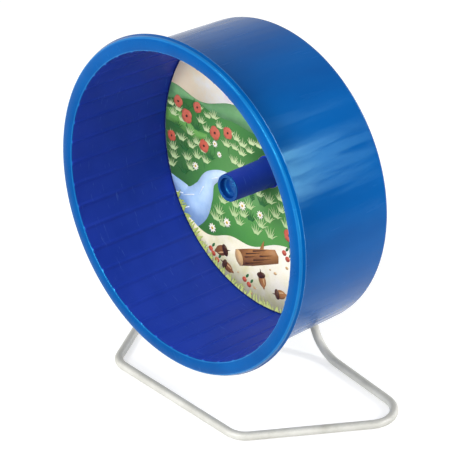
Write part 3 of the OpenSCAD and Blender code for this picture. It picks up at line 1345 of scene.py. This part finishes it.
class Ink(Enum):
    """The inks of the card.

    Each has its level above the board, the direction that its colours run in, and
    their places and sRGB colours along it.
    """

    SKY = (
        1,
        (1.0, 0.25),
        (
            (0.0, "#ffe2b8"), (0.2, "#fff0cc"), (0.32, "#fffdf0"), (0.46, "#ffeaf6"),
            (0.7, "#e2dcff"),
        ),
    )
    DOWNS = (3, (0.0, 1.0), ((0.5, "#5c9a5a"), (0.8, "#86b481")))
    MEADOW = (
        0, (0.0, 1.0), ((0.1, "#4f9440"), (0.42, "#4c8544"), (0.62, "#468540"), (0.85, "#4b8a49"))
    )
    GLADE = (2, (1.0, 0.0), ((0.2, "#6aa650"), (0.8, "#93be60")))
    BROOK = (
        5, (0.6, 0.8), ((0.0, "#8fb6e0"), (0.2, "#b5d0ea"), (0.35, "#d3e4f0"), (0.6, "#9fc2dc"))
    )
    BANK = (
        6, (0.2, 1.0), ((0.0, "#d9d39b"), (0.14, "#ece6cc"), (0.3, "#f3eee0"), (0.6, "#e4d9bb"))
    )
    CLOUD = (4, (0.0, 1.0), ((0.5, "#efe3c8"), (0.9, "#fbf8ef")))
    GLINT = (7, (1.0, 0.0), ((0.0, "#e9f2f7"), (1.0, "#d5e6ee")))
    GRASS = (9, (0.0, 1.0), ((0.3, "#b9d394"), (0.7, "#d0e0a8")))
    SHADE = (8, (0.0, 1.0), ((0.2, "#2a6430"), (0.8, "#36743a")))
    BARK = (10, (1.0, 0.3), ((0.2, "#7a4c2a"), (0.45, "#a87443"), (0.8, "#8c5d37")))
    UMBER = (14, (1.0, 0.0), ((0.0, "#3f2518"), (1.0, "#56331f")))
    TAN = (13, (1.0, 0.0), ((0.0, "#c89c66"), (1.0, "#dcb884")))
    POPPY = (11, (0.3, 1.0), ((0.2, "#c0543c"), (0.55, "#d27058"), (0.8, "#ca634b")))
    DAISY = (12, (0.0, 1.0), ((0.0, "#f1ecd6"), (1.0, "#faf7ea")))
    YOLK = (15, (0.0, 1.0), ((0.0, "#d7a93a"), (1.0, "#e6c04e")))
    FRINGE = (16, (1.0, 0.0), ((0.0, "#a9bd58"), (0.5, "#c6d17c"), (1.0, "#9db551")))


@dataclass
class MeadowCard:
    """The round printed card behind the runner: a plain meadow scene of its own.

    The picture is drawn in millimetres to the right of and above the axle. Each ink is
    one thin sheet of outlines, cut to the card's round shape and to its hole.
    """

    line: AxleLine
    radius: float = 90.1
    hole: float = 9.9
    front: float = 73.6
    back: float = 74.4
    ink_step: float = 0.022
    ink_t: float = 0.02
    # How far the print stays off the card's edge and off its hole
    edge_margin: float = 0.15
    hole_margin: float = 0.1
    seed: int = 11
    # Places that are tried on the meadow, and the least distance between two plants
    tries: int = 1400
    spacing: float = 5.6
    pebbles: int = 70
    # The grass along the card's lower edge: its blades, and the radius of their feet
    fringe_blades: int = 150
    fringe_r: float = 90.5
    art: dict[Ink, list[Outline]] = field(default_factory=lambda: {ink: [] for ink in Ink})
    # Place and reach of what the scattered motifs keep off
    taken: list[tuple[float, float, float]] = field(default_factory=list)

    # Place and half width along the brook
    BROOK_LINE: ClassVar = (
        (-12, -15, 0.9), (-22, -19, 1.7), (-36, -17, 3), (-49, -24, 5),
        (-54, -36, 8.5), (-62, -47, 13), (-78, -52, 18), (-98, -52, 20),
    )
    # Place and half sizes of each puff
    CLOUDS: ClassVar = (
        (-74, 47, 9, 3.4), (-67, 50, 6, 3.6), (-60, 46.5, 8, 2.6), (-18, 66, 15, 5),
        (-8, 71, 9, 5.5), (4, 66, 12, 4), (48, 58, 13, 4), (56, 62, 8, 4.4), (36, 57, 9, 2.6),
    )
    # Place, size and direction in degrees
    GLINTS: ClassVar = (
        (-62, -40, 12, 200), (-72, -43, 15, 190), (-54, -31, 8, 240), (-78, -52, 12, 186),
        (-66, -50, 10, 208), (-42, -20.5, 7, 205), (-84, -40, 8, 184),
    )
    POPPIES: ClassVar = (
        (-79, 17, 7.5, 10), (-71, 10, 9, 40), (-62, 19, 7, 70), (-46, 8, 8.5, 20),
        (-35, 12, 7.5, 55), (-55, -4, 8, 30), (-84, -8, 7, 60), (26, 20, 7, 15),
        (44, -12, 9, 50), (63, 14, 8, 80), (70, -20, 9, 35), (20, -34, 8, 65),
    )
    ACORNS: ClassVar = (
        (-36, -68, 10.5, 205), (-30, -77, 9, 340), (0, -73, 9.5, 290),
        (16, -76, 9, 20), (46, -66, 8, 200),
    )
    BERRIES: ClassVar = (
        (-43, -73), (-39.5, -76), (-45.5, -70.5), (-15, -79), (-11, -81),
        (17, -47), (20, -50), (33, -75), (36.5, -73),
    )
    # Height as a share of half the girth, start and run as shares of the log's length
    BARK_LINES: ClassVar = (
        (-0.7, 0.12, 0.5), (-0.35, 0.35, 0.5), (0.05, 0.14, 0.3),
        (0.1, 0.55, 0.36), (0.45, 0.2, 0.42), (0.75, 0.4, 0.4),
    )

    def free(self, x: float, y: float, reach: float) -> bool:
        """Tells whether a motif of some reach touches nothing that is taken."""
        return all(math.hypot(x - a, y - b) > reach + r for a, b, r in self.taken)

    def draw(self, ink: Ink, *outlines: Outline) -> None:
        """Adds outlines to an ink."""
        self.art[ink].extend(outlines)

    @staticmethod
    def downs_at(x: float) -> float:
        """Gives the height of the skyline over a place."""
        return 36 + 0.12 * x + 3.5 * math.sin(x / 21 + 0.9) + 1.8 * math.sin(x / 7.5)

    @staticmethod
    def meadow_at(x: float) -> float:
        """Gives the height of the meadow's far edge over a place."""
        return 25 + 0.1 * x + 3 * math.sin(x / 17 - 0.6) + math.sin(x / 6)

    @staticmethod
    def bank_at(x: float) -> float:
        """Gives the height of the sandy bank's edge over a place."""
        shore = 9 / (1 + math.exp((x + 36) / 6))
        return -45 - 7 * math.sin(x / 24 + 2.4) + 1.6 * math.sin(x / 6.5) + 0.1 * x - shore

    @staticmethod
    def skyline(height: Callable[[float], float], lift: float = 0.0) -> Outline:
        """Gives the points of an edge that runs right across the card."""
        return [(float(x), height(x) + lift) for x in range(-94, 95, 2)]

    def tuft(
        self, x: float, y: float, size: float, dice: random.Random, ink: Ink = Ink.GRASS
    ) -> None:
        """Draws a tuft of grass.

        Args:
            x: Place of its foot.
            y: Place of its foot.
            size: Its height.
            dice: The seeded source of its blades.
            ink: The ink of its blades.
        """
        for k in range(-3, 4):
            lean = 90 - k * dice.uniform(9, 15)
            tall = size * dice.uniform(0.65, 1.0) * (1 - 0.07 * abs(k))
            bow = -0.012 * k * dice.uniform(4, 10)
            self.draw(ink, blade(x + k * 0.45, y, tall, 0.95, lean, bow))

    def poppy(self, x: float, y: float, size: float, turn: float) -> None:
        """Draws a poppy of four petals, with its dark heart and its stalk.

        Args:
            x: Its centre.
            y: Its centre.
            size: Its width.
            turn: The direction of a petal, in degrees.
        """
        self.draw(Ink.SHADE, blade(x, y, size * 1.9, 0.8, -95 + turn / 8, 0.1))
        reach = size * 0.27
        for way in (turn + 90 * k for k in range(4)):
            a = math.radians(way)
            px, py = x + reach * math.cos(a), y + reach * math.sin(a)
            self.draw(Ink.POPPY, oval(px, py, size * 0.33, size * 0.27, way + 90))
        self.draw(Ink.UMBER, oval(x, y, size * 0.11, size * 0.1, turn, 14))

    def daisy(self, x: float, y: float, size: float, turn: float) -> None:
        """Draws a daisy with its yellow heart.

        Args:
            x: Its centre.
            y: Its centre.
            size: Its width.
            turn: The direction of a petal, in degrees.
        """
        for k in range(9):
            self.draw(Ink.DAISY, leaf(x, y, size / 2, size * 0.2, turn + 40 * k, 6))
        self.draw(Ink.YOLK, oval(x, y, size * 0.14, size * 0.14, 0, 14))

    def acorn(self, x: float, y: float, size: float, turn: float) -> None:
        """Draws an acorn in its cup.

        Args:
            x: Its centre.
            y: Its centre.
            size: Its length.
            turn: The direction of its tip, in degrees.
        """
        self.taken.append((x, y, size * 0.7))
        c, s = math.cos(math.radians(turn)), math.sin(math.radians(turn))
        self.draw(Ink.BARK, oval(x, y, size * 0.5, size * 0.33, turn))
        tip_x, tip_y = x + c * size * 0.3, y + s * size * 0.3
        self.draw(Ink.BARK, leaf(tip_x, tip_y, size * 0.36, size * 0.2, turn, 6))
        shine_x = x + 0.1 * size * c - 0.12 * size * s
        shine_y = y + 0.1 * size * s + 0.12 * size * c
        self.draw(Ink.TAN, oval(shine_x, shine_y, size * 0.24, size * 0.05, turn))
        cup_x, cup_y = x - c * size * 0.33, y - s * size * 0.33
        self.draw(Ink.UMBER, oval(cup_x, cup_y, size * 0.22, size * 0.38, turn))
        stalk_x, stalk_y = x - c * size * 0.5, y - s * size * 0.5
        self.draw(Ink.UMBER, blade(stalk_x, stalk_y, size * 0.3, 0.9, turn + 165, 0.2))

    def fallen_log(self, x: float, y: float, length: float, girth: float, turn: float) -> None:
        """Draws a fallen log with a cut end, bark lines and a stub of a branch.

        Args:
            x: The middle of its cut end.
            y: The middle of its cut end.
            length: Its length.
            girth: Its width.
            turn: Its direction from the cut end, in degrees from the right.
        """

        def on(*places: Point) -> Outline:
            """Gives places on the log."""
            return laid(places, x, y, turn)

        spine = on(*((length * k / 6, 0) for k in range(7)))
        self.taken += [(*place, girth * 0.7) for place in spine]
        half = girth / 2
        body = on(
            (-half * 0.4, -half), (length * 0.3, -half * 1.06), (length * 0.7, -half * 0.94),
            (length, -half * 0.82), (length + half * 0.3, 0), (length, half * 0.84),
            (length * 0.6, half * 0.96), (length * 0.3, half * 1.05), (-half * 0.4, half),
        )
        self.draw(Ink.BARK, body)
        stub = on((length * 0.62, half * 0.5))[0]
        self.draw(Ink.BARK, blade(*stub, girth * 0.85, girth * 0.34, turn + 62, -0.1))
        cut_end = on((-half * 0.1, 0))[0]
        self.draw(Ink.TAN, oval(*cut_end, half * 0.62, half * 1.02, turn))
        for row, start, run in self.BARK_LINES:
            place = on((length * start, half * row))[0]
            self.draw(Ink.UMBER, blade(*place, length * run, 0.9, turn, 0.02))

    def fern(self, x: float, y: float, length: float, turn: float) -> None:
        """Draws a frond of paired leaves.

        Args:
            x: Place of its foot.
            y: Place of its foot.
            length: Its length.
            turn: Its direction, in degrees from the right.
        """
        self.draw(Ink.SHADE, blade(x, y, length, 0.9, turn, 0.0))
        c, s = math.cos(math.radians(turn)), math.sin(math.radians(turn))
        for k in range(1, 8):
            at, size = length * k / 8.5, length * 0.3 * (1 - k / 10)
            for side in (-1, 1):
                frond = leaf(x + at * c, y + at * s, size, size * 0.32, turn + side * 52, 6)
                self.draw(Ink.SHADE, frond)

    def compose(self) -> None:
        """Lays out the picture."""
        dice = random.Random(self.seed)
        self.draw(Ink.MEADOW, oval(0, 0, 99, 99, 0, 120))
        sky = self.skyline(self.meadow_at, 1)
        self.draw(Ink.SKY, sky + [(95.0, 96.0), (-95.0, 96.0)])
        downs = self.skyline(self.downs_at)
        self.draw(Ink.DOWNS, downs + [(px, py - 1.2) for px, py in reversed(sky)])
        self.draw(
            Ink.GLADE,
            ribbon([(20, 12, 4), (38, 4, 9), (60, 8, 12), (84, 2, 14), (99, 6, 15)]),
            ribbon([(-96, 4, 3), (-80, 6, 5), (-64, 1, 3.5), (-50, 4, 0.6)]),
        )
        self.draw(Ink.CLOUD, *(oval(*puff) for puff in self.CLOUDS))
        self.draw(Ink.BROOK, ribbon(self.BROOK_LINE))
        for x, y, size, turn in self.GLINTS:
            self.draw(Ink.GLINT, blade(x, y, size, 0.9, turn, 0.05))
        bank = self.skyline(self.bank_at)
        self.draw(Ink.BANK, [(-95.0, -95), *bank, (95.0, -95)])
        self.grow(dice)
        self.strew(dice)

    def clear_of(self, x: float, y: float) -> bool:
        """Tells whether a place is open meadow, off the hub, brook, bank and sky.

        Args:
            x: The place.
            y: The place.

        Returns:
            Whether something can grow there.
        """
        for (ax, ay, aw), (bx, by, bw) in zip(self.BROOK_LINE, self.BROOK_LINE[1:]):
            for k in range(5):
                t = k / 4
                off = math.hypot(x - ax - (bx - ax) * t, y - ay - (by - ay) * t)
                if off < aw + (bw - aw) * t + 5:
                    return False
        inside = math.hypot(x, y) < self.radius - 2
        return inside and math.hypot(x, y) > 15 and self.bank_at(x) + 4 < y < self.meadow_at(x) - 3

    def grow(self, dice: random.Random) -> None:
        """Draws what grows on the meadow.

        Args:
            dice: The seeded source of the places.
        """
        placed: list[Point] = []
        for _ in range(self.tries):
            x, y = dice.uniform(-88, 88), dice.uniform(-60, 34)
            crowded = any(math.hypot(x - a, y - b) < self.spacing for a, b in placed)
            if crowded or not self.clear_of(x, y):
                continue
            placed.append((x, y))
            near = (34 - y) / 94
            size = 4.5 + 6 * near + dice.uniform(-0.8, 0.8)
            pick = dice.random()
            if pick < 0.62:
                self.tuft(x, y, size, dice)
            elif pick < 0.74:
                self.tuft(x, y, size, dice, Ink.SHADE)
            elif pick < 0.86:
                self.daisy(x, y, size * 0.7, dice.uniform(0, 40))
            elif pick < 0.93:
                self.fern(x, y, size * 1.3, dice.uniform(60, 120))
        for flower in self.POPPIES:
            self.poppy(*flower)

    def strew(self, dice: random.Random) -> None:
        """Draws what lies on the bank and the grass at the card's lower edge.

        Args:
            dice: The seeded source of the pebbles and the blades.
        """
        self.fallen_log(-20, -66, 34, 10.5, 24)
        self.fallen_log(30, -60, 22, 7, -12)
        for nut in self.ACORNS:
            self.acorn(*nut)
        for x, y in self.BERRIES:
            self.taken.append((x, y, 3.2))
            self.draw(Ink.POPPY, oval(x, y, 1.9, 1.8, 0, 16))
            self.draw(Ink.SHADE, leaf(x + 1, y + 1.6, 4.2, 1.8, 55, 6))
        for _ in range(self.pebbles):
            x = dice.uniform(-66, 66)
            y = self.bank_at(x) - dice.uniform(3, 34)
            a = dice.uniform(0.6, 1.5)
            if self.free(x, y, a):
                self.draw(Ink.TAN, oval(x, y, a, a * 0.7, dice.uniform(-20, 20), 12))
        for k in range(self.fringe_blades):
            way = -150 + 120 * k / (self.fringe_blades - 1)
            a = math.radians(way + dice.uniform(-0.4, 0.4))
            x, y = self.fringe_r * math.cos(a), self.fringe_r * math.sin(a)
            lean = math.degrees(math.atan2(-y, -x)) + dice.uniform(-26, 26)
            tall, bow = dice.uniform(3.5, 7.5), dice.uniform(-0.15, 0.15)
            self.draw(Ink.FRINGE, blade(x, y, tall, 1.5, lean, bow))

    def cut(self, outlines: list[Outline]) -> tuple[list[Vector], list[list[int]]]:
        """Joins the outlines of an ink and cuts them to the card and its hole.

        Args:
            outlines: The outlines in millimetres.

        Returns:
            Flat points in millimetres, and faces.
        """
        edge, hole = self.radius - self.edge_margin, self.hole + self.hole_margin
        rings = [oval(0, 0, edge, edge, 0, 240), oval(0, 0, hole, hole, 0, 72)]
        points: list[Vector] = []
        shapes: list[list[int]] = []
        for ring in rings + outlines:
            shapes.append(list(range(len(points), len(points) + len(ring))))
            # The joining tool wants every outline to run anticlockwise
            area = sum(a[0] * b[1] - b[0] * a[1] for a, b in zip(ring, ring[1:] + ring[:1]))
            points += [Vector(p) for p in (ring if area > 0 else ring[::-1])]
        found = geometry.delaunay_2d_cdt(points, [], shapes, 0, 1e-4, True)
        flat, faces, origins = found[0], found[2], found[5]
        # A face is kept inside the card, off its hole and in at least one outline
        kept = [
            face
            for face, inside in zip(faces, origins)
            if 0 in inside and 1 not in inside and any(k > 1 for k in inside)
        ]
        return flat, kept

    def lay(self, ink: Ink, outlines: list[Outline]) -> None:
        """Lays one ink on the board.

        Args:
            ink: The ink, which gives its level and colours.
            outlines: What is drawn in it.
        """
        level, along, stops = ink.value
        flat, faces = self.cut(outlines)
        used = sorted({i for f in faces for i in f})
        number = {old: new for new, old in enumerate(used)}
        depth = self.front + self.ink_step * (len(Ink) - 1 - level) + self.ink_t
        points = [self.line.flat(flat[i].x, flat[i].y, depth) for i in used]
        length = math.hypot(*along)
        finish = PrintedInk(
            f"ink_offset_{ink.name.lower()}",
            stops=stops,
            along=(along[0] / length, along[1] / length),
            centre_height=self.line.height,
        )
        piece = add_piece(
            f"card_ink_{ink.name.lower()}",
            points,
            [[number[i] for i in f] for f in faces],
            Body.WHEEL,
            [finish],
            solid=False,
        )
        for polygon in piece.data.polygons:
            if polygon.normal.y > 0:
                polygon.flip()
        thick = piece.modifiers.new("ink_thickness", "SOLIDIFY")
        thick.thickness = self.ink_t * MM
        thick.offset = -1

    def build(self) -> None:
        """Builds the board and prints it."""
        under = self.front + self.ink_step * len(Ink)
        corners = [
            (self.hole, under, 0.05),
            (self.radius, under, 0.15),
            (self.radius, self.back, 0.15),
            (self.hole, self.back, 0.05),
        ]
        TurnedPart(
            "card_board", "insert_card", Body.WHEEL, Slot.PRINTED_CARD, BOARD, corners, 240
        ).build(self.line)
        self.compose()
        for ink, outlines in self.art.items():
            self.lay(ink, outlines)


def towards(azimuth: float, elevation: float) -> Vector:
    """Gives a direction out from the object.

    Args:
        azimuth: Its angle from the front towards the right, in degrees.
        elevation: Its angle above level, in degrees.

    Returns:
        The direction, of length one.
    """
    az, el = math.radians(azimuth), math.radians(elevation)
    return Vector((math.sin(az) * math.cos(el), -math.cos(az) * math.cos(el), math.sin(el)))


@dataclass
class Studio:
    """Pale floor, soft lamps and the camera at the photograph's viewing angle."""

    line: AxleLine
    floor_r: float = 6.0
    floor_colour: str = "#d2d2d0"
    floor_lift: float = 0.56
    sky_light: float = 0.34
    # The camera's place from the axle at the rim's front, in millimetres
    camera_place: tuple[float, float, float] = (747.53, -692.53, 540.90)
    azimuth: float = 45.43
    elevation: float = 28.45
    roll: float = 2.51
    lens: float = 160.96
    sensor: float = 36.0
    far_clip: float = 50.0

    def camera(self) -> None:
        """Puts the camera where the photograph was taken from."""
        az, roll = math.radians(self.azimuth), math.radians(self.roll)
        back = towards(self.azimuth, self.elevation)
        right = Vector((math.cos(az), math.sin(az), 0))
        up = back.cross(right)
        x = math.cos(roll) * right + math.sin(roll) * up
        y = math.cos(roll) * up - math.sin(roll) * right
        data = bpy.data.cameras.new("photo_camera")
        data.lens = self.lens
        data.sensor_width = self.sensor
        data.clip_end = self.far_clip
        camera = bpy.data.objects.new("photo_camera", data)
        bpy.context.scene.collection.objects.link(camera)
        right_of, behind, above = self.camera_place
        place = Vector(self.line.flat(right_of, above, behind))
        turn = Matrix((x, y, back)).transposed().to_4x4()
        camera.matrix_world = Matrix.Translation(place) @ turn
        bpy.context.scene.camera = camera

    def floor(self) -> None:
        """Lays the pale floor, which looks white where no shadow falls."""
        mesh = bpy.data.meshes.new("studio_floor")
        r = self.floor_r
        ring = [(r * math.cos(a), r * math.sin(a), 0.0) for a in even_angles(96)]
        mesh.from_pydata(ring, [], [tuple(range(len(ring)))])
        made, tree = fresh(bpy.data.materials, "paper_floor")
        seen = self.seen(tree)
        paper = add_node(tree, "BsdfDiffuse", {"Color": linear(self.floor_colour)})
        # What the camera sees is the lit paper lifted by a fixed amount, so that it is
        # white in the light and pale grey in the object's shadow
        raised = {"operation": "MULTIPLY", 0: seen, 1: self.floor_lift}
        lift = add_node(tree, "Math", raised).outputs[0]
        glow = add_node(tree, "Emission", {"Color": (1, 1, 1, 1), "Strength": lift})
        mixed = add_node(tree, "AddShader", {0: paper.outputs[0], 1: glow.outputs[0]})
        add_node(tree, "OutputMaterial", {"Surface": mixed.outputs[0]})
        mesh.materials.append(made)
        floor = bpy.data.objects.new("studio_floor", mesh)
        bpy.context.scene.collection.objects.link(floor)

    @staticmethod
    def seen(tree: bpy.types.NodeTree) -> Socket:
        """Tells what the camera sees, straight or in a reflection or through glass.

        Args:
            tree: The node tree of the floor or of the world.

        Returns:
            The value socket, 1 for what is seen.
        """
        rays = add_node(tree, "LightPath").outputs
        found = rays["Is Camera Ray"]
        for ray in ("Is Glossy Ray", "Is Transmission Ray"):
            either = {"operation": "MAXIMUM", 0: found, 1: rays[ray]}
            found = add_node(tree, "Math", either).outputs[0]
        return found

    def world(self) -> None:
        """Makes the backdrop white to the eye and a softer light on the object."""
        world, tree = fresh(bpy.data.worlds, "studio_world")
        white = {"To Min": self.sky_light, "To Max": 1.0, "Value": self.seen(tree)}
        strength = add_node(tree, "MapRange", white).outputs[0]
        back = add_node(tree, "Background", {"Color": (1, 1, 1, 1), "Strength": strength})
        add_node(tree, "OutputWorld", {"Surface": back.outputs[0]})
        bpy.context.scene.world = world

    def lamp(
        self,
        name: str,
        azimuth: float,
        elevation: float,
        away: float,
        size: Point,
        power: float,
        aim: tuple[float, float, float] = (0, 30, 0),
        shift: Point = (0, 0),
        roll: float = 0.0,
    ) -> None:
        """Hangs a soft lamp.

        Args:
            name: Name of the lamp.
            azimuth: Its direction from the front towards the right, in degrees.
            elevation: Its height above level, in degrees.
            away: Its distance in metres.
            size: Its width and height in metres.
            power: Its power in watts for each square metre of its face.
            aim: The place that it points at, in millimetres from the axle at the rim.
            shift: How far it is moved in its own plane, in metres.
            roll: How far it is turned in its own plane, in degrees.
        """
        data = bpy.data.lights.new(name, "AREA")
        data.shape = "RECTANGLE"
        data.size, data.size_y = size
        data.energy = power * size[0] * size[1]
        way = towards(azimuth, elevation)
        lamp = bpy.data.objects.new(name, data)
        bpy.context.scene.collection.objects.link(lamp)
        centre = Vector(self.line.flat(aim[0], aim[2], aim[1]))
        side = Vector((0, 0, 1)).cross(way).normalized()
        turn = Matrix((side, way.cross(side), way)).transposed().to_4x4()
        spin = Matrix.Rotation(math.radians(roll), 4, "Z")
        moved = Matrix.Translation((shift[0], shift[1], 0))
        lamp.matrix_world = Matrix.Translation(centre + way * away) @ turn @ moved @ spin

    def build(self) -> None:
        """Sets up the whole studio."""
        self.camera()
        self.floor()
        self.world()
        # The mirror image of this group is the light patch on the drum's right side
        for name, size, power, shift in (
            ("softbox_right", (0.087, 0.44), 110.0, (-0.0813, -0.0100)),
            ("softbox_right_upper", (0.03, 0.09), 40.0, (0.0373, 0.1251)),
            ("softbox_right_lower", (0.024, 0.07), 36.0, (-0.0972, -0.1926)),
            ("softbox_above", (0.12, 0.12), 9.0, (0.175, 0.365)),
        ):
            self.lamp(name, 138, 21, 0.8, size, power, (78, 30, 50), shift, -22.3)
        self.lamp("softbox_front", 10, 17, 1.6, (0.9, 0.4), 56.0)
        # Its mirror image is the thin light line along the back of the rim's lip
        self.lamp("softbox_behind", 176, 13, 1.3, (0.5, 0.3), 22.0)
        self.lamp("softbox_side", 96, 2, 0.9, (0.3, 0.2), 18.0)
        # Its mirror image is the light line along the rim's outer edge
        self.lamp("softbox_rim", -15, 42, 1.5, (0.4, 0.4), 50.0)
        bpy.context.scene.view_settings.view_transform = "Standard"


def main() -> None:
    """Loads the frame and builds every piece round it."""
    logging.basicConfig(level=logging.INFO, format="%(name)s: %(message)s")
    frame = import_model()
    line = AxleLine.of(frame, floor_depth=MeadowCard.back)
    for part in (Drum, HubCap, AxleSet, WireStand, MeadowCard, Studio):
        part(line).build()
        LOG.info("%s done", part.__name__)


if __name__ == "__main__":
    main()
